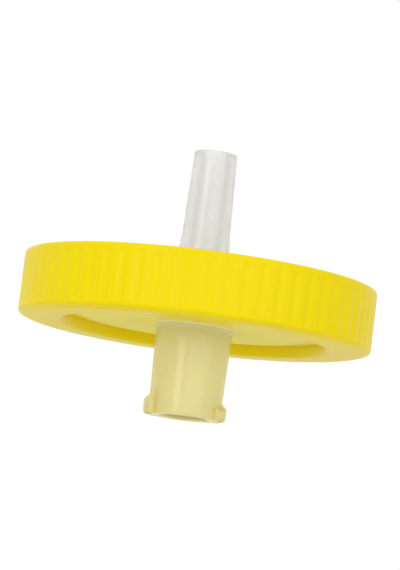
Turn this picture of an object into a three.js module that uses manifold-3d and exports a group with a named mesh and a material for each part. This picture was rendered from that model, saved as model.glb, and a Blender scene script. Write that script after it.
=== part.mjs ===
// Syringe filter: two translucent housing halves clamp a membrane disc, and a yellow ring
// moulded round their rims holds the stack together. Millimetres, +Z up. The origin is the
// centre of the inlet hub's open end, and +Z runs along the flow, towards the outlet tip.

import * as THREE from "three";
import { mergeVertices } from "three/addons/utils/BufferGeometryUtils.js";
import Module from "manifold-3d";

const wasm = await Module();
wasm.setup();

// ---- Driving dimensions --------------------------------------------------------------

// Lengths along the axis, in flow order
const HUB_REACH = 7.65; // inlet hub, from its open end to the ring's inlet face
const INLET_RECESS = 1.05; // ring's inlet face down to the inlet disc
const INLET_WALL = 1.45; // inlet disc thickness
const FLOW_RIB_HEIGHT = 0.4; // inlet chamber depth under the membrane
const MEMBRANE_THICKNESS = 0.15;
const SUPPORT_HEIGHT = 0.45; // outlet chamber depth over the membrane
const OUTLET_WALL = 1.6; // outlet disc thickness
const OUTLET_RECESS = 0.9; // outlet disc up to the ring's outlet face
const PORT_REACH = 11.35; // outlet port, from the ring's outlet face to its tip

// Radial build-up, from the wetted chamber outwards
const CHAMBER_DIAMETER = 25.8;
const CLAMP_WIDTH = 1; // membrane rim held between the housings
const MEMBRANE_CLEARANCE = 0.1; // membrane edge to the outlet housing's lip
const LIP_WIDTH = 0.6; // lip where the two housings meet outside the membrane
const RING_WALL = 1.9; // ring material outside the discs, over the ribs

// Discs
const PLATEAU_HEIGHT = 0.2; // raised middle of each disc's outer face
const PLATEAU_CHAMFER = 0.2;
const INLET_MOAT = 1.3; // flat band between the plateau and the ring's window
const OUTLET_MOAT = 1.6;

// Luer fittings
const LUER_TAPER = 0.06; // change of diameter per unit of length
const SOCKET_DIAMETER = 4.3; // female taper at its mouth
const SOCKET_DEPTH = 8.2;
const INLET_HOLE = 1.6; // from the socket into the chamber
const HUB_DIAMETER = 6.7; // at the open end
const HUB_DRAFT = 0.4; // the hub's root is this much wider
const HUB_FILLET = 0.6;
const LUG_DIAMETER = 7.8; // across the two lugs
const LUG_SPAN = 70; // degrees round the hub
const LUG_EDGE = 0.25; // chamfer under the crest
const LUG_CREST = 0.7; // height of the crest at the lug's low end
const LUG_FLANK = 0.5; // slope from the crest up to the hub wall
const LUG_LEAD = 5; // rise per turn of the lug's upper side
const TIP_DIAMETER = 4; // male taper at its tip
const TAPER_LENGTH = 7.5; // the length that seats in a female fitting
const NECK_DIAMETER = 4.8; // port, where it leaves the collar
const PORT_BORE = 2;
const ROOT_DIAMETER = 5.4; // collar round the foot of the outlet port
const ROOT_REACH = 1.75; // collar, above the ring's outlet face
const ROOT_CONE = 0.4; // slope from the collar in to the neck
const ROOT_FILLET = 0.5;
const EDGE_BREAK = 0.15; // chamfer on the hub's mouth and the port's tip

// Membrane supports inside the chamber
const FLOW_RIB_COUNT = 24;
const FLOW_RIB_WIDTH = 0.5;
const FLOW_RIB_START = 3.5; // radius where the spokes begin
const FLOW_RIB_GAP = 0.5; // spoke's end to the chamber wall
const SUPPORT_RING_COUNT = 4;
const SUPPORT_RING_WIDTH = 0.7;
const CHANNEL_COUNT = 8;
const CHANNEL_WIDTH = 1.2;

// Ring
const INLET_LAP = 2.5; // how far the ring covers the inlet disc's rim
const OUTLET_LAP = 1.6;
const INLET_NOSE = 0.7; // rounding from the inlet face down to the disc
const SHOULDER_RADIUS = 4; // the inlet face curves away towards the wall
const SHOULDER_SWEEP = 20; // degrees of that curve
const INLET_EDGE = 0.4; // fillet from the shoulder round to the ribbed wall
const OUTLET_NOSE = 0.6; // rounding from the outlet face down to the disc
const OUTLET_EDGE = 0.3; // fillet between the outlet face and the ribbed wall
const RIB_COUNT = 64;
const GROOVE_DEPTH = 0.12;
const GROOVE_RADIUS = 0.8;
const GROOVE_LAND = 0.5; // plain band between the grooves and the outlet face

// Facets
const FACETS_PER_RIB = 1; // on the discs, the ring and the membrane
const STEM_FACETS = 48; // round the hub, the port and the support rings
const ARC_STEPS = 4; // per rounded corner
const GROOVE_FACETS = 16;
const LUG_FACETS = 10;
const OVERRUN = 1; // cutting tools pass through a face by this much

// ---- Derived sizes -------------------------------------------------------------------

const discFacets = RIB_COUNT * FACETS_PER_RIB;
const chamberRadius = CHAMBER_DIAMETER / 2;
const membraneRadius = chamberRadius + CLAMP_WIDTH;
const lipRadius = membraneRadius + MEMBRANE_CLEARANCE;
const discRadius = lipRadius + LIP_WIDTH;
const ringRadius = discRadius + RING_WALL;
const inletWindow = discRadius - INLET_LAP;
const outletWindow = discRadius - OUTLET_LAP;

// Heights above the hub's open end
const inletFace = HUB_REACH;
const inletDisc = inletFace + INLET_RECESS;
const chamberFloor = inletDisc + INLET_WALL;
const membraneSeat = chamberFloor + FLOW_RIB_HEIGHT;

// Heights above the membrane seat, where the outlet housing is placed
const chamberCeiling = MEMBRANE_THICKNESS + SUPPORT_HEIGHT;
const outletDisc = chamberCeiling + OUTLET_WALL;
const outletFace = outletDisc + OUTLET_RECESS;
const portTip = outletFace + PORT_REACH;

const discStack = INLET_WALL + FLOW_RIB_HEIGHT + outletDisc; // over both discs' rims

const hubRootRadius = (HUB_DIAMETER + HUB_DRAFT) / 2;

// ---- Building blocks -----------------------------------------------------------------

// Points of an arc round (r, z), as [radius, height] pairs; angles in quarter turns.
function arc(r, z, radiusR, radiusZ, from, to, steps = ARC_STEPS) {
  return Array.from({ length: steps + 1 }, (_, i) => {
    const angle = (Math.PI / 2) * (from + ((to - from) * i) / steps);
    return [r + radiusR * Math.cos(angle), z + radiusZ * Math.sin(angle)];
  });
}

// A closed three.js geometry as a manifold solid.
function solid(geometry) {
  geometry.deleteAttribute("normal");
  geometry.deleteAttribute("uv");
  const welded = mergeVertices(geometry);
  const triangles = [];
  for (let i = 0; i < welded.index.count; i += 3) {
    const corners = [0, 1, 2].map((k) => welded.index.getX(i + k));
    if (new Set(corners).size === 3) triangles.push(...corners);
  }
  return new wasm.Manifold(
    new wasm.Mesh({
      numProp: 3,
      vertProperties: welded.getAttribute("position").array,
      triVerts: new Uint32Array(triangles),
    })
  );
}

// A solid of revolution about Z. The [radius, height] profile runs anticlockwise, with the
// axis on its left, and is closed here.
function turned(profile, facets) {
  const outline = [...profile, profile[0]].map(([r, z]) => new THREE.Vector2(r, z));
  return solid(new THREE.LatheGeometry(outline, facets).rotateX(Math.PI / 2));
}

// A box that reaches out along a spoke, from radius `start` to `end`.
function spoke(start, end, width, low, high, angle) {
  const bar = new THREE.BoxGeometry(end - start, width, high - low);
  bar.translate((start + end) / 2, 0, (low + high) / 2);
  return solid(bar.rotateZ(angle));
}

// The same solid made at equal steps round the axis; `make` gets each angle.
function around(count, make, offset = 0) {
  return Array.from({ length: count }, (_, i) => make(((i + offset) * 2 * Math.PI) / count));
}

function node(name, body, material, height) {
  const { vertProperties, triVerts } = body.getMesh();
  const geometry = new THREE.BufferGeometry();
  geometry.setAttribute("position", new THREE.BufferAttribute(vertProperties, 3));
  geometry.setIndex(new THREE.BufferAttribute(triVerts, 1));
  geometry.computeVertexNormals();
  const mesh = new THREE.Mesh(geometry, material);
  mesh.name = name;
  mesh.position.z = height;
  return mesh;
}

// ---- Inlet housing: disc, female luer-lock hub and flow ribs ---------------------------

// The rim is level with the ribs' tops: together they are the membrane's seat.
function inletDiscBody() {
  const plateau = inletWindow - INLET_MOAT;
  const plateauFace = inletDisc - PLATEAU_HEIGHT;
  return turned(
    [
      [0, plateauFace],
      [plateau - PLATEAU_CHAMFER, plateauFace],
      [plateau, inletDisc],
      [discRadius, inletDisc],
      [discRadius, membraneSeat],
      [chamberRadius, membraneSeat],
      [chamberRadius, chamberFloor],
      [0, chamberFloor],
    ],
    discFacets
  );
}

function hubBody() {
  const root = inletDisc - PLATEAU_HEIGHT;
  const filletRadius = hubRootRadius + HUB_FILLET;
  const sunk = inletDisc + INLET_WALL / 2;
  return turned(
    [
      [0, 0],
      [HUB_DIAMETER / 2 - EDGE_BREAK, 0],
      [HUB_DIAMETER / 2, EDGE_BREAK],
      ...arc(filletRadius, root - HUB_FILLET, HUB_FILLET, HUB_FILLET, 2, 1),
      [filletRadius, sunk],
      [0, sunk],
    ],
    STEM_FACETS
  );
}

function socketTool() {
  const mouth = SOCKET_DIAMETER / 2;
  const bottom = (SOCKET_DIAMETER - LUER_TAPER * SOCKET_DEPTH) / 2;
  const end = chamberFloor + OVERRUN;
  return turned(
    [
      [0, -OVERRUN],
      [mouth + EDGE_BREAK + OVERRUN, -OVERRUN],
      [mouth, EDGE_BREAK],
      [bottom, SOCKET_DEPTH],
      [INLET_HOLE / 2, SOCKET_DEPTH],
      [INLET_HOLE / 2, end],
      [0, end],
    ],
    STEM_FACETS
  );
}

// One ear of the luer lock, flush with the hub's end. Its upper side slopes in to the hub
// wall and rises along the thread's lead. The levels are [outer radius, height, rises].
function lug(middle) {
  const wall = HUB_DIAMETER / 2;
  const crest = LUG_DIAMETER / 2;
  const foot = (wall + SOCKET_DIAMETER / 2) / 2;
  const half = THREE.MathUtils.degToRad(LUG_SPAN / 2);
  const levels = [
    [crest - LUG_EDGE, 0, 0],
    [crest, LUG_EDGE, 0],
    [crest, LUG_CREST, 1],
    [wall, LUG_CREST + LUG_FLANK, 1],
  ];
  const sector = new THREE.Shape();
  sector.absarc(0, 0, crest, -half, half, false);
  sector.absarc(0, 0, foot, half, -half, true);
  const geometry = new THREE.ExtrudeGeometry(sector, {
    depth: levels.length - 1,
    steps: levels.length - 1,
    bevelEnabled: false,
    curveSegments: LUG_FACETS,
  });
  const points = geometry.getAttribute("position");
  for (let i = 0; i < points.count; i += 1) {
    const [reach, height, rises] = levels[Math.round(points.getZ(i))];
    const angle = Math.atan2(points.getY(i), points.getX(i));
    const inside = Math.hypot(points.getX(i), points.getY(i)) < wall;
    const radius = inside ? foot : reach;
    const rise = (rises * LUG_LEAD * (angle + half)) / (2 * Math.PI);
    points.setXYZ(i, radius * Math.cos(angle), radius * Math.sin(angle), height + rise);
  }
  return solid(geometry.rotateZ(middle));
}

function inletHousing() {
  const embed = INLET_WALL / 4;
  const flowRibs = around(FLOW_RIB_COUNT, (angle) =>
    spoke(
      FLOW_RIB_START,
      chamberRadius - FLOW_RIB_GAP,
      FLOW_RIB_WIDTH,
      chamberFloor - embed,
      membraneSeat,
      angle
    )
  );
  const pieces = [hubBody(), ...around(2, lug), ...flowRibs];
  return pieces.reduce((body, piece) => body.add(piece), inletDiscBody()).subtract(socketTool());
}

// ---- Outlet housing: disc, male luer-slip port and membrane support --------------------

// The lip reaches down past the membrane's edge to meet the inlet housing's rim.
function outletDiscBody() {
  const plateau = outletWindow - OUTLET_MOAT;
  const plateauFace = outletDisc + PLATEAU_HEIGHT;
  return turned(
    [
      [0, chamberCeiling],
      [chamberRadius, chamberCeiling],
      [chamberRadius, MEMBRANE_THICKNESS],
      [lipRadius, MEMBRANE_THICKNESS],
      [lipRadius, 0],
      [discRadius, 0],
      [discRadius, outletDisc],
      [plateau, outletDisc],
      [plateau - PLATEAU_CHAMFER, plateauFace],
      [0, plateauFace],
    ],
    discFacets
  );
}

function portBody() {
  const sunk = chamberCeiling + OUTLET_WALL / 2;
  const root = outletDisc + PLATEAU_HEIGHT;
  const collar = ROOT_DIAMETER / 2;
  const collarTop = outletFace + ROOT_REACH;
  const taperFoot = (TIP_DIAMETER + LUER_TAPER * TAPER_LENGTH) / 2;
  return turned(
    [
      [0, sunk],
      [collar + ROOT_FILLET, sunk],
      ...arc(collar + ROOT_FILLET, root + ROOT_FILLET, ROOT_FILLET, ROOT_FILLET, 3, 2),
      [collar, collarTop - ROOT_CONE],
      [NECK_DIAMETER / 2, collarTop],
      [taperFoot, portTip - TAPER_LENGTH],
      [TIP_DIAMETER / 2, portTip - EDGE_BREAK],
      [TIP_DIAMETER / 2 - EDGE_BREAK, portTip],
      [0, portTip],
    ],
    STEM_FACETS
  );
}

function boreTool() {
  const start = -OVERRUN;
  const end = portTip + OVERRUN;
  return turned(
    [
      [0, start],
      [PORT_BORE / 2, start],
      [PORT_BORE / 2, end],
      [0, end],
    ],
    STEM_FACETS
  );
}

// Concentric rings that carry the membrane, with channels through them to the port.
function membraneSupport() {
  const low = MEMBRANE_THICKNESS;
  const high = chamberCeiling + OUTLET_WALL / 4;
  const pitch = chamberRadius / (SUPPORT_RING_COUNT + 1);
  const rings = Array.from({ length: SUPPORT_RING_COUNT }, (_, i) => {
    const inner = pitch * (i + 1) - SUPPORT_RING_WIDTH / 2;
    const outer = inner + SUPPORT_RING_WIDTH;
    const section = [
      [inner, low],
      [outer, low],
      [outer, high],
      [inner, high],
    ];
    return turned(section, STEM_FACETS);
  });
  const channels = around(
    CHANNEL_COUNT,
    (angle) => spoke(0, chamberRadius, CHANNEL_WIDTH, low - OVERRUN, chamberCeiling, angle),
    0.5
  );
  const support = rings.reduce((body, ring) => body.add(ring));
  return channels.reduce((body, channel) => body.subtract(channel), support);
}

function outletHousing() {
  return outletDiscBody().add(portBody()).add(membraneSupport()).subtract(boreTool());
}

// ---- Membrane ------------------------------------------------------------------------

function membraneBody() {
  return turned(
    [
      [0, 0],
      [membraneRadius, 0],
      [membraneRadius, MEMBRANE_THICKNESS],
      [0, MEMBRANE_THICKNESS],
    ],
    discFacets
  );
}

// ---- Overmoulded ring ------------------------------------------------------------------

// Heights are above the ring's inlet face. The section wraps round the discs' rims.
const ringTop = INLET_RECESS + discStack + OUTLET_RECESS;

function ringSection() {
  const sweep = THREE.MathUtils.degToRad(SHOULDER_SWEEP);
  const turn = 3 + SHOULDER_SWEEP / 90;
  const inletEdge = ringRadius - INLET_EDGE;
  const edgeReach = SHOULDER_RADIUS - INLET_EDGE;
  const shoulder = inletEdge - edgeReach * Math.sin(sweep);
  const edgeHeight = SHOULDER_RADIUS - edgeReach * Math.cos(sweep);
  const inletNose = inletWindow + INLET_NOSE;
  const outletNose = outletWindow + OUTLET_NOSE;
  const outletRim = INLET_RECESS + discStack;
  const outletEdge = ringRadius - OUTLET_EDGE;
  return [
    ...arc(inletNose, INLET_RECESS, INLET_NOSE, INLET_RECESS, 2, 3),
    ...arc(shoulder, SHOULDER_RADIUS, SHOULDER_RADIUS, SHOULDER_RADIUS, 3, turn, 2),
    ...arc(inletEdge, edgeHeight, INLET_EDGE, INLET_EDGE, turn, 4).slice(1),
    ...arc(outletEdge, ringTop - OUTLET_EDGE, OUTLET_EDGE, OUTLET_EDGE, 0, 1, 3),
    ...arc(outletNose, outletRim, OUTLET_NOSE, OUTLET_RECESS, 1, 2),
    [discRadius, outletRim],
    [discRadius, INLET_RECESS],
  ];
}

// Grooves leave the ribs standing round the wall, one rib at the +X axis.
function groove(angle) {
  const height = ringTop - GROOVE_LAND;
  const tool = new THREE.CylinderGeometry(GROOVE_RADIUS, GROOVE_RADIUS, height, GROOVE_FACETS);
  tool.rotateX(Math.PI / 2);
  tool.translate(ringRadius + GROOVE_RADIUS - GROOVE_DEPTH, 0, height / 2);
  return solid(tool.rotateZ(angle));
}

function overmouldRing() {
  const blank = turned(ringSection(), discFacets);
  return around(RIB_COUNT, groove, 0.5).reduce((body, tool) => body.subtract(tool), blank);
}

// ---- Assembly ------------------------------------------------------------------------

const clearPolypropylene = new THREE.MeshStandardMaterial({
  color: 0xe8e6dc,
  roughness: 0.3,
  metalness: 0,
  transparent: true,
  opacity: 0.6,
});
const yellowPolypropylene = new THREE.MeshStandardMaterial({
  color: 0xf4dc00,
  roughness: 0.35,
  metalness: 0,
});
const nylon = new THREE.MeshStandardMaterial({ color: 0xf4f1e6, roughness: 0.9, metalness: 0 });

const filter = new THREE.Group();
filter.name = "syringe_filter";
filter.add(
  node("inlet_housing", inletHousing(), clearPolypropylene, 0),
  node("membrane", membraneBody(), nylon, membraneSeat),
  node("outlet_housing", outletHousing(), clearPolypropylene, membraneSeat),
  node("overmould_ring", overmouldRing(), yellowPolypropylene, inletFace)
);

export default filter;
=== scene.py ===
"""Looks of the syringe filter: a moulded yellow ring round two translucent housings.

The shapes are drawn in millimetres, from the same sizes as the part's solids, and made
in metres. Heights and outer radii come from the frame's boxes.
"""

import math

import bpy
from mathutils import Matrix, Quaternion, Vector


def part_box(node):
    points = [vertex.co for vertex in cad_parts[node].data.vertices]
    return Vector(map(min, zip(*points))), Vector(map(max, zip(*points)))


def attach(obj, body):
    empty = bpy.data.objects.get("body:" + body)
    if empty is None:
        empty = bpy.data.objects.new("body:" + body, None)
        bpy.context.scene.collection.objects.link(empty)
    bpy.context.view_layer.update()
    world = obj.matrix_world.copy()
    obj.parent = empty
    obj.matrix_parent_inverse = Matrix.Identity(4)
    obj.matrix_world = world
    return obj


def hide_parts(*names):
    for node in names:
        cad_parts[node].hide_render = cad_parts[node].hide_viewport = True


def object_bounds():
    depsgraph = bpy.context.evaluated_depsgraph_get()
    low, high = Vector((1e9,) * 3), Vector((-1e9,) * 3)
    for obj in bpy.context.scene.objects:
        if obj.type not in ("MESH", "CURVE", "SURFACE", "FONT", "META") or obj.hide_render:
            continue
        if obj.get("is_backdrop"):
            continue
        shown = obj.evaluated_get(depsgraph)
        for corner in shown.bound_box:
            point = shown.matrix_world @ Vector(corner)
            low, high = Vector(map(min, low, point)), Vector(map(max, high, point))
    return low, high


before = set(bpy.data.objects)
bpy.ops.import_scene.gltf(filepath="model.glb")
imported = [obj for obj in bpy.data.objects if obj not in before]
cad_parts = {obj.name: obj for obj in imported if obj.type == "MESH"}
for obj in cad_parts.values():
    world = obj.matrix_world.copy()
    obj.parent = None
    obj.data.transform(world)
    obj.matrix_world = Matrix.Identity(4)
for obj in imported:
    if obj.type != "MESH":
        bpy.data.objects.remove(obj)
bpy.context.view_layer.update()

# ---- Sizes ---------------------------------------------------------------------------

MM = 0.001

ring_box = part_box("overmould_ring")
inlet_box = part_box("inlet_housing")
outlet_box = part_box("outlet_housing")
membrane_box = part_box("membrane")

# Heights and radii of the frame, in millimetres
INLET_FACE = ring_box[0].z / MM
OUTLET_FACE = ring_box[1].z / MM
RING_RADIUS = ring_box[1].x / MM
DISC_RADIUS = inlet_box[1].x / MM
SEAT = inlet_box[1].z / MM
MEMBRANE_RADIUS = membrane_box[1].x / MM
MEMBRANE_TOP = membrane_box[1].z / MM
TIP = outlet_box[1].z / MM

# Discs
INLET_RECESS = 1.05
OUTLET_RECESS = 0.9
INLET_WALL = 1.45
OUTLET_WALL = 1.6
CLAMP_WIDTH = 1
MEMBRANE_CLEARANCE = 0.1
INLET_DISC = INLET_FACE + INLET_RECESS
OUTLET_DISC = OUTLET_FACE - OUTLET_RECESS
CHAMBER_FLOOR = INLET_DISC + INLET_WALL
CHAMBER_CEILING = OUTLET_DISC - OUTLET_WALL
CHAMBER_RADIUS = MEMBRANE_RADIUS - CLAMP_WIDTH
LIP_RADIUS = MEMBRANE_RADIUS + MEMBRANE_CLEARANCE
RIM_PLAY = 0.03  # gap round the housings' rims, and between their seats

# Raised middles of the discs
PLATEAU_STEP = 0.2
PLATEAU_CREST = 0.15  # rounding of the raised edge
PLATEAU_FOOT = 0.1  # rounding where it meets the disc
INLET_PLATEAU = 10.8
OUTLET_PLATEAU = 11.4

# Luer hub
LUER_TAPER = 0.06  # change of diameter per unit of length
MOUTH_RADIUS = 2.15
SOCKET_DEPTH = 8.2
SOCKET_BOTTOM_RADIUS = MOUTH_RADIUS - LUER_TAPER / 2 * SOCKET_DEPTH
SOCKET_CORNER = 0.2
INLET_HOLE_RADIUS = 0.8
INLET_HOLE_EDGE = 0.05
HUB_RADIUS = 3.35
HUB_ROOT_RADIUS = 3.55
HUB_FILLET = 0.6
HUB_EDGE = 0.15
HUB_EDGE_MIDDLE = 0.05  # the rounded edge's middle point, in from the corner

# Luer lugs
LUG_RADIUS = 3.9
LUG_COUNT = 2
LUG_SPAN = 70
LUG_LEAD = 5
LUG_STEPS = 18
LUG_FOOT = 0.02  # the lugs end this far above the hub's face
LUG_LEAN = 0.1  # the crest stands this far out past the foot
LUG_EDGE = 0.25
LUG_CREST = 0.7
LUG_CREST_ROUND = 0.18
LUG_TOP = 1.2
LUG_SINK = 0.02  # the upper side ends this far inside the hub

# Luer port
TIP_RADIUS = 2.0
TIP_ROUND = 0.2
TAPER_LENGTH = 7.5
TAPER_RADIUS = TIP_RADIUS + LUER_TAPER / 2 * TAPER_LENGTH
NECK_RADIUS = 2.4
NECK_ROUND = 0.25
COLLAR_RADIUS = 2.7
COLLAR_ROUND = 0.2
COLLAR_REACH = 1.75
COLLAR_TOP = OUTLET_FACE + COLLAR_REACH
COLLAR_CONE = 0.4
COLLAR_FILLET = 0.5
BORE_RADIUS = 1.0
BORE_EDGE = 0.1

# Ring
INLET_LAP = 2.5  # how far the ring covers the inlet disc's rim
OUTLET_LAP = 1.6
INLET_WINDOW = DISC_RADIUS - INLET_LAP
OUTLET_WINDOW = DISC_RADIUS - OUTLET_LAP
INLET_NOSE = 0.7
SHOULDER_RADIUS = 4
SHOULDER_SWEEP = 20
INLET_EDGE = 0.4
OUTLET_NOSE = 0.6
OUTLET_EDGE = 0.3

# Where the shoulder's curve starts, and where its fillet meets the ribbed wall
SWEEP = math.radians(SHOULDER_SWEEP)
FILLET_REACH = SHOULDER_RADIUS - INLET_EDGE
SHOULDER_START = RING_RADIUS - INLET_EDGE - FILLET_REACH * math.sin(SWEEP)
WALL_FOOT = INLET_FACE + SHOULDER_RADIUS - FILLET_REACH * math.cos(SWEEP)

# Ribs
RIB_COUNT = 64
RIB_PITCH = 2 * math.pi / RIB_COUNT
COLUMNS_PER_RIB = 12
GROOVE_DEPTHS = (0.08, 0.071, 0.046, 0.016)  # column by column, from the middle out
GROOVE_LAND = 0.5
GROOVE_END = OUTLET_FACE - GROOVE_LAND
# rows of points up the wall: height, and the share of a groove's depth there
WALL_ROWS = (
    (WALL_FOOT, 0.45),
    (WALL_FOOT + 0.2, 0.8),
    (WALL_FOOT + 0.6, 1),
    (WALL_FOOT + 2, 1),
    (GROOVE_END - 0.5, 1),
    (GROOVE_END - 0.3, 0.8),
    (GROOVE_END - 0.15, 0.35),
    (GROOVE_END, 0),
)

# Membrane supports
FLOW_RIB_COUNT = 24
FLOW_RIB_WIDTH = 0.5
FLOW_RIB_START = 3.5
FLOW_RIB_GAP = 0.5  # from a rib's end to the chamber's wall
FLOW_RIB_END = CHAMBER_RADIUS - FLOW_RIB_GAP
FLOW_RIB_ROOT = 0.4  # how far the ribs run down into the inlet disc
SUPPORT_RING_COUNT = 4
SUPPORT_RING_WIDTH = 0.7
SUPPORT_ROOT = 0.3  # how far the rings run up into the outlet disc
CHANNEL_COUNT = 8
CHANNEL_WIDTH = 1.2
CHANNEL_START = 0.01
OVERRUN = 1  # the channels' cutter passes the rings' lower faces by this much

# Fineness
DISC_SEGMENTS = 192
ROUND_STEPS = 3  # per softened corner
HOLD_MIN = 0.5  # sides longer than this get a point near each end
HOLD_INSET = 0.08
SEAM_GAP = 0.002  # points closer than this are joined
SNAP = 0.01  # play in picking out points by their place
SMOOTH_ANGLE = math.radians(32)


# ---- Drawing a section ---------------------------------------------------------------


def arc(r, z, radius, start, end, steps, height=None):
    """Points of an arc round (r, z), from one angle to another in quarter turns.

    `height` is its reach up and down, where that isn't its radius.
    """
    height = height or radius
    points = []
    for i in range(steps + 1):
        angle = math.pi / 2 * (start + (end - start) * i / steps)
        points.append((r + radius * math.cos(angle), z + height * math.sin(angle)))
    return points


def softened(corners):
    """A closed outline: a corner (r, z) is kept and a corner (r, z, radius) rounded."""
    points = []
    for i, corner in enumerate(corners):
        here = Vector(corner[:2])
        if len(corner) == 2:
            points.append(tuple(here))
            continue
        radius = corner[2]
        back = (Vector(corners[i - 1][:2]) - here).normalized()
        ahead = (Vector(corners[(i + 1) % len(corners)][:2]) - here).normalized()
        half = back.angle(ahead) / 2
        centre = here + (back + ahead).normalized() * (radius / math.sin(half))
        reach = radius / math.tan(half)
        first = here + back * reach - centre
        sweep = first.angle_signed(here + ahead * reach - centre)
        for step in range(ROUND_STEPS + 1):
            spin = Matrix.Rotation(-sweep * step / ROUND_STEPS, 2)
            points.append(tuple(centre + spin @ first))
    return points


def held(section):
    """The same outline, whose long sides get a point near each end, to shade flat."""
    points = []
    for i, corner in enumerate(section):
        here = Vector(corner)
        along = Vector(section[(i + 1) % len(section)]) - here
        points.append(corner)
        if along.length > HOLD_MIN:
            inset = along.normalized() * HOLD_INSET
            points.append(tuple(here + inset))
            points.append(tuple(here + along - inset))
    return points


# ---- Modelling by operators ----------------------------------------------------------


def activate(piece):
    """Selects one piece and no other, and makes it the active one."""
    bpy.ops.object.select_all(action="DESELECT")
    piece.select_set(True)
    bpy.context.view_layer.objects.active = piece


def edit_all():
    """Starts editing the active piece, with all of it selected."""
    bpy.ops.object.mode_set(mode="EDIT")
    bpy.ops.mesh.select_all(action="SELECT")


def end_edit():
    bpy.ops.object.mode_set(mode="OBJECT")


def bake_place():
    """Puts a piece's place, turn and scale in its mesh."""
    bpy.ops.object.transform_apply(location=True, rotation=True, scale=True)


def start_piece(name):
    """Names the piece that an operator has just added."""
    piece = bpy.context.object
    piece.name = name
    piece.data.name = name
    return piece


def settle(piece):
    """Closes seams, turns the faces outwards and puts the piece's place in its mesh."""
    activate(piece)
    edit_all()
    bpy.ops.mesh.remove_doubles(threshold=SEAM_GAP * MM)
    bpy.ops.mesh.normals_make_consistent(inside=False)
    end_edit()
    bake_place()


def smooth(piece):
    activate(piece)
    bpy.ops.object.shade_smooth_by_angle(angle=SMOOTH_ANGLE)


def turn(angle):
    """Turns what is selected anticlockwise round the filter's axis."""
    bpy.ops.transform.rotate(value=-angle, orient_axis="Z", center_override=(0, 0, 0))


def widen(scale):
    """Scales what is selected outwards from the filter's axis."""
    bpy.ops.transform.resize(value=(scale, scale, 1), center_override=(0, 0, 0))


def select_where(piece, test, mode="VERT"):
    """Selects, in edit mode, what passes a test on its place in millimetres."""
    bpy.ops.mesh.select_mode(type=mode)
    bpy.ops.mesh.select_all(action="DESELECT")
    end_edit()
    mesh = piece.data
    items = mesh.vertices if mode == "VERT" else mesh.polygons
    for item in items:
        place = (item.co if mode == "VERT" else item.center) / MM
        item.select = test(place)
    bpy.ops.object.mode_set(mode="EDIT")


def drawn_face(name, section):
    """A flat face: a plane is shrunk to a point, which is extruded round a section."""
    bpy.ops.object.select_all(action="DESELECT")
    r, z = section[0]
    bpy.ops.mesh.primitive_plane_add(size=MM, location=(r * MM, 0, z * MM))
    piece = start_piece(name)
    bake_place()
    edit_all()
    bpy.ops.mesh.merge(type="CENTER")
    for next_r, next_z in section[1:]:
        bpy.ops.mesh.extrude_vertices_move(
            TRANSFORM_OT_translate={"value": ((next_r - r) * MM, 0, (next_z - z) * MM)}
        )
        r, z = next_r, next_z
    bpy.ops.mesh.select_all(action="SELECT")
    bpy.ops.mesh.edge_face_add()
    end_edit()
    return piece


def turned(name, section, segments):
    """A ring-shaped body: a circle is extruded from point to point of a section."""
    bpy.ops.object.select_all(action="DESELECT")
    r, z = section[0]
    bpy.ops.mesh.primitive_circle_add(
        vertices=segments, radius=r * MM, fill_type="NOTHING", location=(0, 0, z * MM)
    )
    piece = start_piece(name)
    bake_place()
    edit_all()
    outline = held(section)
    for next_r, next_z in [*outline[1:], outline[0]]:
        bpy.ops.mesh.extrude_edges_move(
            TRANSFORM_OT_translate={"value": (0, 0, (next_z - z) * MM)}
        )
        if next_r != r:
            widen(next_r / r)
        r, z = next_r, next_z
    end_edit()
    settle(piece)
    return piece


def spokes(name, *, count, start, end, width, low, high, offset=0):
    """Bars laid out round the axis: one is modelled, then copied and turned.

    `start` and `end` are radii. `offset` turns the first bar by a share of the pitch.
    """
    bpy.ops.object.select_all(action="DESELECT")
    bpy.ops.mesh.primitive_cube_add(
        size=1, location=((start + end) / 2 * MM, 0, (low + high) / 2 * MM)
    )
    bar = start_piece(name)
    bar.scale = ((end - start) * MM, width * MM, (high - low) * MM)
    bake_place()
    edit_all()
    step = 2 * math.pi / count
    if offset:
        turn(step * offset)
    for _ in range(count - 1):
        bpy.ops.mesh.duplicate()
        turn(step)
    end_edit()
    settle(bar)
    return bar


def merge_into(piece, other, operation):
    """Applies a boolean of the other piece to this one, and removes the other."""
    activate(piece)
    cut = piece.modifiers.new(name=other.name, type="BOOLEAN")
    cut.operation = operation
    cut.solver = "EXACT"
    cut.object = other
    bpy.ops.object.modifier_apply(modifier=cut.name)
    bpy.data.objects.remove(other)


# ---- Grip ring -----------------------------------------------------------------------


def ring_section():
    inlet_nose = INLET_WINDOW + INLET_NOSE
    shoulder = INLET_FACE + SHOULDER_RADIUS
    inlet_edge = RING_RADIUS - INLET_EDGE
    outlet_edge = RING_RADIUS - OUTLET_EDGE
    outlet_nose = OUTLET_WINDOW + OUTLET_NOSE
    sweep_end = 3 + SHOULDER_SWEEP / 90
    return [
        *arc(inlet_nose, INLET_DISC, INLET_NOSE, 2, 3, steps=10, height=INLET_RECESS),
        *arc(SHOULDER_START, shoulder, SHOULDER_RADIUS, 3, sweep_end, steps=5),
        *arc(inlet_edge, WALL_FOOT, INLET_EDGE, sweep_end, 4, steps=6)[1:],
        *((RING_RADIUS, height) for height, _ in WALL_ROWS[1:]),
        *arc(outlet_edge, OUTLET_FACE - OUTLET_EDGE, OUTLET_EDGE, 0, 1, steps=5),
        *arc(
            outlet_nose, OUTLET_DISC, OUTLET_NOSE, 1, 2, steps=8, height=OUTLET_RECESS
        ),
        (DISC_RADIUS, OUTLET_DISC),
        (DISC_RADIUS, INLET_DISC),
    ]


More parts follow.
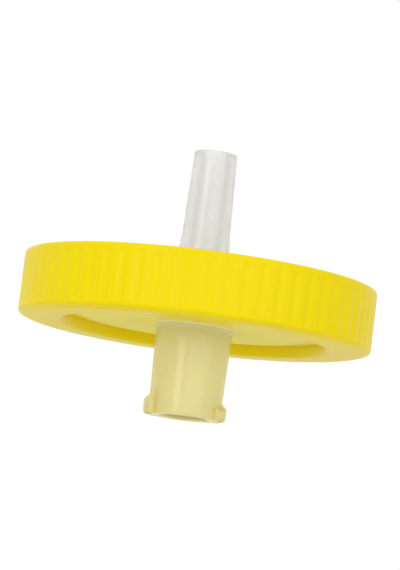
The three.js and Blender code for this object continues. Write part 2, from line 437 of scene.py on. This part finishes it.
def groove_column(place, low, high):
    """A test for the columns `place` steps off a groove's middle, between heights."""

    def test(point):
        around = math.atan2(point.y, point.x) / RIB_PITCH % 1
        column = abs(around - 0.5) * COLUMNS_PER_RIB
        on_wall = math.hypot(point.x, point.y) > RING_RADIUS - SNAP
        return on_wall and low < point.z < high and round(column) == place

    return test


def grip_ring():
    """The moulded ring. Grooves are pressed into its wall, from the middle out."""
    ring = turned("grip_ring", ring_section(), RIB_COUNT * COLUMNS_PER_RIB)
    bpy.ops.object.mode_set(mode="EDIT")
    for place, depth in enumerate(GROOVE_DEPTHS):
        low = WALL_FOOT - SNAP
        for (row, share), (next_row, _) in zip(WALL_ROWS, WALL_ROWS[1:]):
            high = (row + next_row) / 2
            select_where(ring, groove_column(place, low, high))
            widen(1 - depth * share / RING_RADIUS)
            low = high
    end_edit()
    smooth(ring)
    return ring


# ---- Inlet shell ---------------------------------------------------------------------


def inlet_section():
    plateau_face = INLET_DISC - PLATEAU_STEP
    fillet_radius = HUB_ROOT_RADIUS + HUB_FILLET
    rim = DISC_RADIUS - RIM_PLAY
    seat = SEAT - RIM_PLAY / 2
    hub = [
        (MOUTH_RADIUS + HUB_EDGE, 0),
        (HUB_RADIUS - HUB_EDGE, 0),
        (HUB_RADIUS - HUB_EDGE_MIDDLE, HUB_EDGE_MIDDLE),
        (HUB_RADIUS, HUB_EDGE),
        *arc(fillet_radius, plateau_face - HUB_FILLET, HUB_FILLET, 2, 1, steps=8),
    ]
    disc = [
        (INLET_PLATEAU - PLATEAU_STEP, plateau_face, PLATEAU_CREST),
        (INLET_PLATEAU, INLET_DISC, PLATEAU_FOOT),
        (rim, INLET_DISC),
        (rim, seat),
    ]
    inside = [
        (CHAMBER_RADIUS, seat),
        (CHAMBER_RADIUS, CHAMBER_FLOOR),
        (INLET_HOLE_RADIUS + INLET_HOLE_EDGE, CHAMBER_FLOOR),
        (INLET_HOLE_RADIUS, CHAMBER_FLOOR - INLET_HOLE_EDGE),
        (INLET_HOLE_RADIUS, SOCKET_DEPTH),
        (SOCKET_BOTTOM_RADIUS, SOCKET_DEPTH, SOCKET_CORNER),
        (MOUTH_RADIUS, HUB_EDGE),
    ]
    return softened([*hub, *disc, *inside])


def underside(angle, reach, top):
    """A test for the points near an angle round the axis, and under a height."""

    def test(point):
        here = math.atan2(point.y, point.x)
        off = (here - angle + math.pi) % (2 * math.pi) - math.pi
        return abs(off) < reach and point.z < top

    return test


def ear(name, middle):
    """One ear of the luer lock: its section is extruded round the hub, and climbs."""
    start = middle - math.radians(LUG_SPAN / 2)
    step = math.radians(LUG_SPAN) / LUG_STEPS
    climb = LUG_LEAD * step / (2 * math.pi)
    foot = (HUB_RADIUS + MOUTH_RADIUS) / 2
    section = softened(
        [
            (foot, LUG_FOOT),
            (LUG_RADIUS - LUG_LEAN, LUG_FOOT, LUG_EDGE),
            (LUG_RADIUS, LUG_CREST, LUG_CREST_ROUND),
            (HUB_RADIUS - LUG_SINK, LUG_TOP),
            (foot, LUG_TOP),
        ]
    )
    piece = drawn_face(name, section)
    edit_all()
    turn(start)
    for _ in range(LUG_STEPS):
        bpy.ops.mesh.extrude_region_move(TRANSFORM_OT_translate={"value": (0, 0, 0)})
        turn(step)
        bpy.ops.transform.translate(value=(0, 0, climb * MM))
    # the underside goes back down to the height of the foot, a column at a time
    for column in range(1, LUG_STEPS + 1):
        lift = climb * column
        angle = start + column * step
        select_where(piece, underside(angle, step / 4, lift + LUG_CREST / 2))
        bpy.ops.transform.translate(value=(0, 0, -lift * MM))
    end_edit()
    settle(piece)
    return piece


def inlet_shell():
    shell = turned("inlet_shell", inlet_section(), DISC_SEGMENTS)
    ribs = spokes(
        "flow_ribs",
        count=FLOW_RIB_COUNT,
        start=FLOW_RIB_START,
        end=FLOW_RIB_END,
        width=FLOW_RIB_WIDTH,
        low=CHAMBER_FLOOR - FLOW_RIB_ROOT,
        high=SEAT - RIM_PLAY / 2,
    )
    merge_into(shell, ribs, "UNION")
    for number in range(LUG_COUNT):
        middle = 2 * math.pi * number / LUG_COUNT
        merge_into(shell, ear(f"ear_{number}", middle), "UNION")
    settle(shell)
    smooth(shell)
    return shell


# ---- Outlet shell --------------------------------------------------------------------


def outlet_section():
    plateau_face = OUTLET_DISC + PLATEAU_STEP
    fillet_radius = COLLAR_RADIUS + COLLAR_FILLET
    rim = DISC_RADIUS - RIM_PLAY
    seat = SEAT + RIM_PLAY / 2
    top = MEMBRANE_TOP + RIM_PLAY / 2
    inside = [
        (BORE_RADIUS, TIP - BORE_EDGE),
        (BORE_RADIUS, CHAMBER_CEILING + BORE_EDGE),
        (BORE_RADIUS + BORE_EDGE, CHAMBER_CEILING),
        (CHAMBER_RADIUS, CHAMBER_CEILING),
        (CHAMBER_RADIUS, top),
        (LIP_RADIUS, top),
        (LIP_RADIUS, seat),
    ]
    disc = [
        (rim, seat),
        (rim, OUTLET_DISC),
        (OUTLET_PLATEAU, OUTLET_DISC, PLATEAU_FOOT),
        (OUTLET_PLATEAU - PLATEAU_STEP, plateau_face, PLATEAU_CREST),
    ]
    port = [
        *arc(fillet_radius, plateau_face + COLLAR_FILLET, COLLAR_FILLET, 3, 2, steps=8),
        (COLLAR_RADIUS, COLLAR_TOP - COLLAR_CONE, COLLAR_ROUND),
        (NECK_RADIUS, COLLAR_TOP, NECK_ROUND),
        (TAPER_RADIUS, TIP - TAPER_LENGTH),
        (TIP_RADIUS, TIP, TIP_ROUND),
        (BORE_RADIUS + BORE_EDGE, TIP),
    ]
    return softened([*inside, *disc, *port])


def outlet_shell():
    """The outlet housing. Channels are cut in its support rings before they join it."""
    shell = turned("outlet_shell", outlet_section(), DISC_SEGMENTS)
    low = MEMBRANE_TOP + RIM_PLAY / 2
    high = CHAMBER_CEILING + SUPPORT_ROOT
    pitch = CHAMBER_RADIUS / (SUPPORT_RING_COUNT + 1)
    channels = spokes(
        "channels",
        count=CHANNEL_COUNT,
        start=CHANNEL_START,
        end=CHAMBER_RADIUS,
        width=CHANNEL_WIDTH,
        low=low - OVERRUN,
        high=CHAMBER_CEILING,
        offset=0.5,
    )
    for number in range(SUPPORT_RING_COUNT):
        inner = pitch * (number + 1) - SUPPORT_RING_WIDTH / 2
        outer = inner + SUPPORT_RING_WIDTH
        section = [(inner, low), (outer, low), (outer, high), (inner, high)]
        support = turned(f"support_{number}", section, DISC_SEGMENTS)
        cutter = channels.copy()
        cutter.data = channels.data.copy()
        bpy.context.collection.objects.link(cutter)
        merge_into(support, cutter, "DIFFERENCE")
        merge_into(shell, support, "UNION")
    bpy.data.objects.remove(channels)
    settle(shell)
    smooth(shell)
    return shell


# ---- Materials -----------------------------------------------------------------------

POLYPROPYLENE_IOR = 1.49
RIM_COVER = 0.5  # the painted light from the ring in a rim is full this far under the ring

# Where the stems' materials start, from the plateaus' faces outwards
HUB_START = 0.1
PORT_START = 0.02


def new_material(name):
    material = bpy.data.materials.new(name)
    material.use_nodes = True
    tree = material.node_tree
    for node in list(tree.nodes):
        tree.nodes.remove(node)
    surface = tree.nodes.new("ShaderNodeBsdfPrincipled")
    output = tree.nodes.new("ShaderNodeOutputMaterial")
    tree.links.new(surface.outputs["BSDF"], output.inputs["Surface"])
    return material, tree, surface


def moulded_grain():
    """Fine texture of a moulded face: a colour shade, a roughness and a normal."""
    group = bpy.data.node_groups.new("moulded_grain", "ShaderNodeTree")
    sockets = group.interface
    for name, kind in (
        ("Colour", "NodeSocketColor"),
        ("Shade", "NodeSocketFloat"),
        ("Roughness", "NodeSocketFloat"),
        ("Roughness Change", "NodeSocketFloat"),
        ("Grain Depth", "NodeSocketFloat"),
    ):
        sockets.new_socket(name, in_out="INPUT", socket_type=kind)
    for name, kind in (
        ("Colour", "NodeSocketColor"),
        ("Roughness", "NodeSocketFloat"),
        ("Normal", "NodeSocketVector"),
    ):
        sockets.new_socket(name, in_out="OUTPUT", socket_type=kind)
    nodes, links = group.nodes, group.links
    given = nodes.new("NodeGroupInput")
    result = nodes.new("NodeGroupOutput")
    place = nodes.new("ShaderNodeTexCoord")

    # slow drift of the colour, as the melt cools
    drift = nodes.new("ShaderNodeTexNoise")
    drift.inputs["Scale"].default_value = 160
    drift.inputs["Detail"].default_value = 3
    links.new(place.outputs["Object"], drift.inputs["Vector"])
    centred = nodes.new("ShaderNodeMath")
    centred.operation = "SUBTRACT"
    centred.inputs[1].default_value = 0.5
    links.new(drift.outputs["Fac"], centred.inputs[0])
    shade = nodes.new("ShaderNodeMath")
    shade.operation = "MULTIPLY_ADD"
    shade.inputs[2].default_value = 1.0
    links.new(centred.outputs[0], shade.inputs[0])
    links.new(given.outputs["Shade"], shade.inputs[1])
    tint = nodes.new("ShaderNodeVectorMath")
    tint.operation = "SCALE"
    links.new(given.outputs["Colour"], tint.inputs[0])
    links.new(shade.outputs[0], tint.inputs["Scale"])
    links.new(tint.outputs[0], result.inputs["Colour"])

    # the same drift in the roughness
    rough = nodes.new("ShaderNodeMath")
    rough.operation = "MULTIPLY_ADD"
    links.new(centred.outputs[0], rough.inputs[0])
    links.new(given.outputs["Roughness Change"], rough.inputs[1])
    links.new(given.outputs["Roughness"], rough.inputs[2])
    links.new(rough.outputs[0], result.inputs["Roughness"])

    # fine grain from the mould's face
    grain = nodes.new("ShaderNodeTexNoise")
    grain.inputs["Scale"].default_value = 4200
    grain.inputs["Detail"].default_value = 2
    links.new(place.outputs["Object"], grain.inputs["Vector"])
    height = nodes.new("ShaderNodeMath")
    height.operation = "MULTIPLY"
    links.new(grain.outputs["Fac"], height.inputs[0])
    links.new(given.outputs["Grain Depth"], height.inputs[1])
    bump = nodes.new("ShaderNodeBump")
    bump.inputs["Strength"].default_value = 0.6
    bump.inputs["Distance"].default_value = MM
    links.new(height.outputs[0], bump.inputs["Height"])
    links.new(bump.outputs["Normal"], result.inputs["Normal"])
    return group


def finish_with(tree, surface, group, **values):
    """Places a finish group in a material, and joins it to the shader."""
    finish = tree.nodes.new("ShaderNodeGroup")
    finish.node_tree = group
    for name, value in values.items():
        finish.inputs[name.replace("_", " ").title()].default_value = value
    tree.links.new(finish.outputs["Colour"], surface.inputs["Base Color"])
    tree.links.new(finish.outputs["Roughness"], surface.inputs["Roughness"])
    tree.links.new(finish.outputs["Normal"], surface.inputs["Normal"])
    return finish


def yellow_polypropylene(grain):
    material, tree, surface = new_material("yellow_polypropylene")
    surface.inputs["IOR"].default_value = POLYPROPYLENE_IOR
    surface.inputs["Specular IOR Level"].default_value = 0.1
    finish_with(
        tree,
        surface,
        grain,
        colour=(0.87, 0.69, 0.0004, 1),
        shade=0.04,
        roughness=0.33,
        roughness_change=0.1,
        grain_depth=0.004,
    )
    return material


def nylon_membrane(grain):
    material, tree, surface = new_material("nylon_membrane")
    surface.inputs["Specular IOR Level"].default_value = 0.15
    finish_with(
        tree,
        surface,
        grain,
        colour=(0.9, 0.89, 0.85, 1),
        shade=0.05,
        roughness=0.85,
        roughness_change=0.1,
        grain_depth=0.03,
    )
    return material


def painted_ring_light(tree, finish, colour, ring_light_colour, window, fade):
    """Paints the ring's yellow light into the plastic next to the ring, as painted light
    in its colour.

    The colour changes from `fade` inside the ring's window to a little under the ring.
    """
    place = tree.nodes.new("ShaderNodeTexCoord")
    across = tree.nodes.new("ShaderNodeVectorMath")
    across.operation = "MULTIPLY"
    across.inputs[1].default_value = (1, 1, 0)
    tree.links.new(place.outputs["Object"], across.inputs[0])
    radius = tree.nodes.new("ShaderNodeVectorMath")
    radius.operation = "LENGTH"
    tree.links.new(across.outputs["Vector"], radius.inputs[0])
    share = tree.nodes.new("ShaderNodeMapRange")
    share.interpolation_type = "SMOOTHSTEP"
    share.inputs["From Min"].default_value = (window - fade) * MM
    share.inputs["From Max"].default_value = (window + RIM_COVER) * MM
    tree.links.new(radius.outputs["Value"], share.inputs["Value"])
    mix = tree.nodes.new("ShaderNodeMix")
    mix.data_type = "RGBA"
    mix.inputs["A"].default_value = (*colour, 1)
    mix.inputs["B"].default_value = (*ring_light_colour, 1)
    tree.links.new(share.outputs["Result"], mix.inputs["Factor"])
    tree.links.new(mix.outputs["Result"], finish.inputs["Colour"])


def clear_polypropylene(
    grain,
    name,
    *,
    colour,
    clarity,
    glow=1.0,
    roughness=0.21,
    gloss=0.5,
    rim=None,
    depth_tint=None,
):
    """Milky clear plastic: `clarity` is the share of light that goes straight through.

    `glow` is the share of the rest that spreads inside it. `rim` is the painted yellow
    light of the ring next to it, as a colour, the window's radius and the fade's width.
    `depth_tint` deepens the colour at a shallow angle, where light crosses more plastic.
    """
    material, tree, surface = new_material(name)
    surface.inputs["IOR"].default_value = POLYPROPYLENE_IOR
    surface.inputs["Specular IOR Level"].default_value = gloss
    surface.inputs["Transmission Weight"].default_value = clarity
    surface.inputs["Subsurface Weight"].default_value = glow
    surface.inputs["Subsurface Radius"].default_value = (1, 1, 0.8)
    surface.inputs["Subsurface Scale"].default_value = 0.4 * MM
    finish = finish_with(
        tree,
        surface,
        grain,
        colour=(*colour, 1),
        shade=0.04,
        roughness=roughness,
        roughness_change=0.06,
        grain_depth=0.003,
    )
    # painted light: the ring's yellow light is laid into the colour near the ring
    if rim:
        painted_ring_light(tree, finish, colour, *rim)
    if depth_tint:
        surface.inputs["Coat Weight"].default_value = 1.0
        surface.inputs["Coat Roughness"].default_value = 0.4
        surface.inputs["Coat IOR"].default_value = 1.02
        surface.inputs["Coat Tint"].default_value = (*depth_tint, 1)
    return material


def dress(piece, nodes, material, *, stem=None, on_stem=None):
    """Gives a piece its material, and a clearer one to the faces that on_stem picks."""
    piece.data.materials.clear()
    piece.data.materials.append(material)
    if stem:
        piece.data.materials.append(stem)
        activate(piece)
        bpy.ops.object.mode_set(mode="EDIT")
        select_where(piece, on_stem, "FACE")
        piece.active_material_index = 1
        bpy.ops.object.material_slot_assign()
        end_edit()
    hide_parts(*nodes)
    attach(piece, "root")


def on_hub(place):
    return place.z < INLET_DISC - PLATEAU_STEP - HUB_START


def on_port(place):
    return place.z > OUTLET_DISC + PLATEAU_STEP + PORT_START


grain = moulded_grain()
inlet_disc = clear_polypropylene(
    grain,
    "milky_inlet_disc",
    colour=(0.99, 0.96, 0.86),
    clarity=0.06,
    glow=0.4,
    roughness=0.5,
    gloss=0.3,
    # rim: painted yellow light from the ring, in the disc's colour round the window
    rim=((0.98, 0.87, 0.28), INLET_WINDOW, 2.5),
    depth_tint=(1, 0.982, 0.74),
)
# The hub's cream-yellow colour is painted yellow light from the ring above it; the plastic
# itself is whitish-cream.
hub_with_painted_ring_light = clear_polypropylene(
    grain,
    "milky_inlet_hub",
    colour=(0.985, 0.86, 0.49),
    clarity=0.18,
    depth_tint=(1, 0.985, 0.9),
)
outlet_disc = clear_polypropylene(
    grain,
    "milky_outlet_disc",
    colour=(0.99, 0.94, 0.74),
    clarity=0.06,
    glow=0.4,
    roughness=0.4,
    gloss=0.3,
    # rim: painted yellow light from the ring, in the disc's colour round the window
    rim=((0.98, 0.87, 0.36), OUTLET_WINDOW, 1.5),
)
outlet_port = clear_polypropylene(
    grain, "clear_outlet_port", colour=(0.995, 0.99, 0.975), clarity=0.4
)
dress(
    grip_ring(),
    ["overmould_ring"],
    yellow_polypropylene(grain),
)
dress(
    inlet_shell(),
    ["inlet_housing"],
    inlet_disc,
    stem=hub_with_painted_ring_light,
    on_stem=on_hub,
)
dress(
    outlet_shell(),
    ["outlet_housing"],
    outlet_disc,
    stem=outlet_port,
    on_stem=on_port,
)
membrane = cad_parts["membrane"]
membrane.data.materials.clear()
membrane.data.materials.append(nylon_membrane(grain))


# ---- Studio --------------------------------------------------------------------------

FLOOR_HOLE = HUB_RADIUS - 0.05  # radius of the opening, just under the hub's wall
FLOOR_DROP = 0.01  # keeps the floor clear of the hub's face
FLOOR_REACH = 1.5  # radius in metres
FLOOR_WHITE = (0.92, 0.92, 0.92, 1)


def pale_world():
    """A white surround: the lens, gloss and clear plastic see it as brighter."""
    world = bpy.data.worlds.new("pale_studio")
    world.use_nodes = True
    bpy.context.scene.world = world
    tree = world.node_tree
    for node in list(tree.nodes):
        tree.nodes.remove(node)
    light = tree.nodes.new("ShaderNodeBackground")
    light.inputs["Strength"].default_value = 0.68
    seen = tree.nodes.new("ShaderNodeBackground")
    seen.inputs["Strength"].default_value = 1.0
    for node in (light, seen):
        node.inputs["Color"].default_value = (1, 1, 1, 1)
    path = tree.nodes.new("ShaderNodeLightPath")
    total = path.outputs["Is Camera Ray"]
    for other in ("Is Glossy Ray", "Is Transmission Ray"):
        either = tree.nodes.new("ShaderNodeMath")
        either.operation = "MAXIMUM"
        tree.links.new(total, either.inputs[0])
        tree.links.new(path.outputs[other], either.inputs[1])
        total = either.outputs[0]
    mix = tree.nodes.new("ShaderNodeMixShader")
    output = tree.nodes.new("ShaderNodeOutputWorld")
    tree.links.new(total, mix.inputs["Fac"])
    tree.links.new(light.outputs[0], mix.inputs[1])
    tree.links.new(seen.outputs[0], mix.inputs[2])
    tree.links.new(mix.outputs[0], output.inputs["Surface"])


def opal_sheet():
    """Pale sheet that scatters half of the light and passes half. Its back is clear."""
    material, tree, surface = new_material("pale_floor")
    surface.inputs["Base Color"].default_value = FLOOR_WHITE
    surface.inputs["Roughness"].default_value = 0.9
    surface.inputs["Specular IOR Level"].default_value = 0.1
    glow = tree.nodes.new("ShaderNodeBsdfTranslucent")
    glow.inputs["Color"].default_value = FLOOR_WHITE
    sheet = tree.nodes.new("ShaderNodeMixShader")
    sheet.inputs["Fac"].default_value = 0.5
    tree.links.new(surface.outputs["BSDF"], sheet.inputs[1])
    tree.links.new(glow.outputs["BSDF"], sheet.inputs[2])
    side = tree.nodes.new("ShaderNodeNewGeometry")
    through = tree.nodes.new("ShaderNodeBsdfTransparent")
    mix = tree.nodes.new("ShaderNodeMixShader")
    output = tree.nodes["Material Output"]
    tree.links.new(side.outputs["Backfacing"], mix.inputs["Fac"])
    tree.links.new(sheet.outputs[0], mix.inputs[1])
    tree.links.new(through.outputs["BSDF"], mix.inputs[2])
    tree.links.new(mix.outputs[0], output.inputs["Surface"])
    return material


def pale_floor():
    """A wide floor of opal sheet, which light from below comes up through.

    It is open just under the hub, so that the mouth isn't black from below. It shows
    from above only, because the camera looks up from just below it.
    """
    bpy.ops.object.select_all(action="DESELECT")
    bpy.ops.mesh.primitive_circle_add(
        vertices=96, radius=FLOOR_HOLE * MM, location=(0, 0, -FLOOR_DROP * MM)
    )
    floor = start_piece("floor")
    bake_place()
    edit_all()
    bpy.ops.mesh.extrude_edges_move(TRANSFORM_OT_translate={"value": (0, 0, 0)})
    widen(FLOOR_REACH / (FLOOR_HOLE * MM))
    bpy.ops.mesh.select_all(action="SELECT")
    bpy.ops.mesh.normals_make_consistent(inside=False)
    end_edit()
    if floor.data.polygons[0].normal.z < 0:
        bpy.ops.object.mode_set(mode="EDIT")
        bpy.ops.mesh.flip_normals()
        end_edit()
    floor.data.materials.append(opal_sheet())
    floor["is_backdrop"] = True


def softbox(name, *, azimuth, elevation, distance, width, height, power):
    """A rectangular softbox aimed at the ring. Azimuth 0 is at the camera's side."""
    side, rise = math.radians(azimuth), math.radians(elevation)
    across = math.cos(rise)
    away = Vector((math.sin(side) * across, -math.cos(side) * across, math.sin(rise)))
    data = bpy.data.lights.new(name, "AREA")
    data.shape = "RECTANGLE"
    data.size = width
    data.size_y = height
    data.energy = power
    lamp = bpy.data.objects.new(name, data)
    bpy.context.collection.objects.link(lamp)
    lamp.location = Vector((0, 0, INLET_FACE * MM)) + away * distance
    lamp.rotation_euler = away.to_track_quat("Z", "Y").to_euler()


def long_lens():
    """A long lens from slightly below, rolled so that the filter leans to the right."""
    elevation = math.radians(-7.2)
    roll = math.radians(7)
    distance = 0.32
    data = bpy.data.cameras.new("camera")
    data.lens = 217
    data.sensor_width = 36
    data.clip_start = 0.01
    camera = bpy.data.objects.new("camera", data)
    bpy.context.collection.objects.link(camera)
    low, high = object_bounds()
    aim = (low + high) / 2
    back = Vector((0, -math.cos(elevation), math.sin(elevation)))
    camera.location = aim + back * distance
    camera.rotation_mode = "QUATERNION"
    level = (-back).to_track_quat("-Z", "Y")
    camera.rotation_quaternion = level @ Quaternion((0, 0, 1), roll)
    bpy.context.scene.camera = camera


pale_world()
pale_floor()
softbox(
    "top_light",
    azimuth=-30,
    elevation=70,
    distance=0.55,
    width=0.35,
    height=0.35,
    power=0.65,
)
softbox(
    "side_light",
    azimuth=-30,
    elevation=9,
    distance=0.5,
    width=0.18,
    height=0.16,
    power=0.3,
)
softbox(
    "front_light",
    azimuth=24,
    elevation=9,
    distance=0.5,
    width=0.6,
    height=0.16,
    power=0.42,
)
long_lens()
bpy.context.scene.view_settings.view_transform = "Standard"
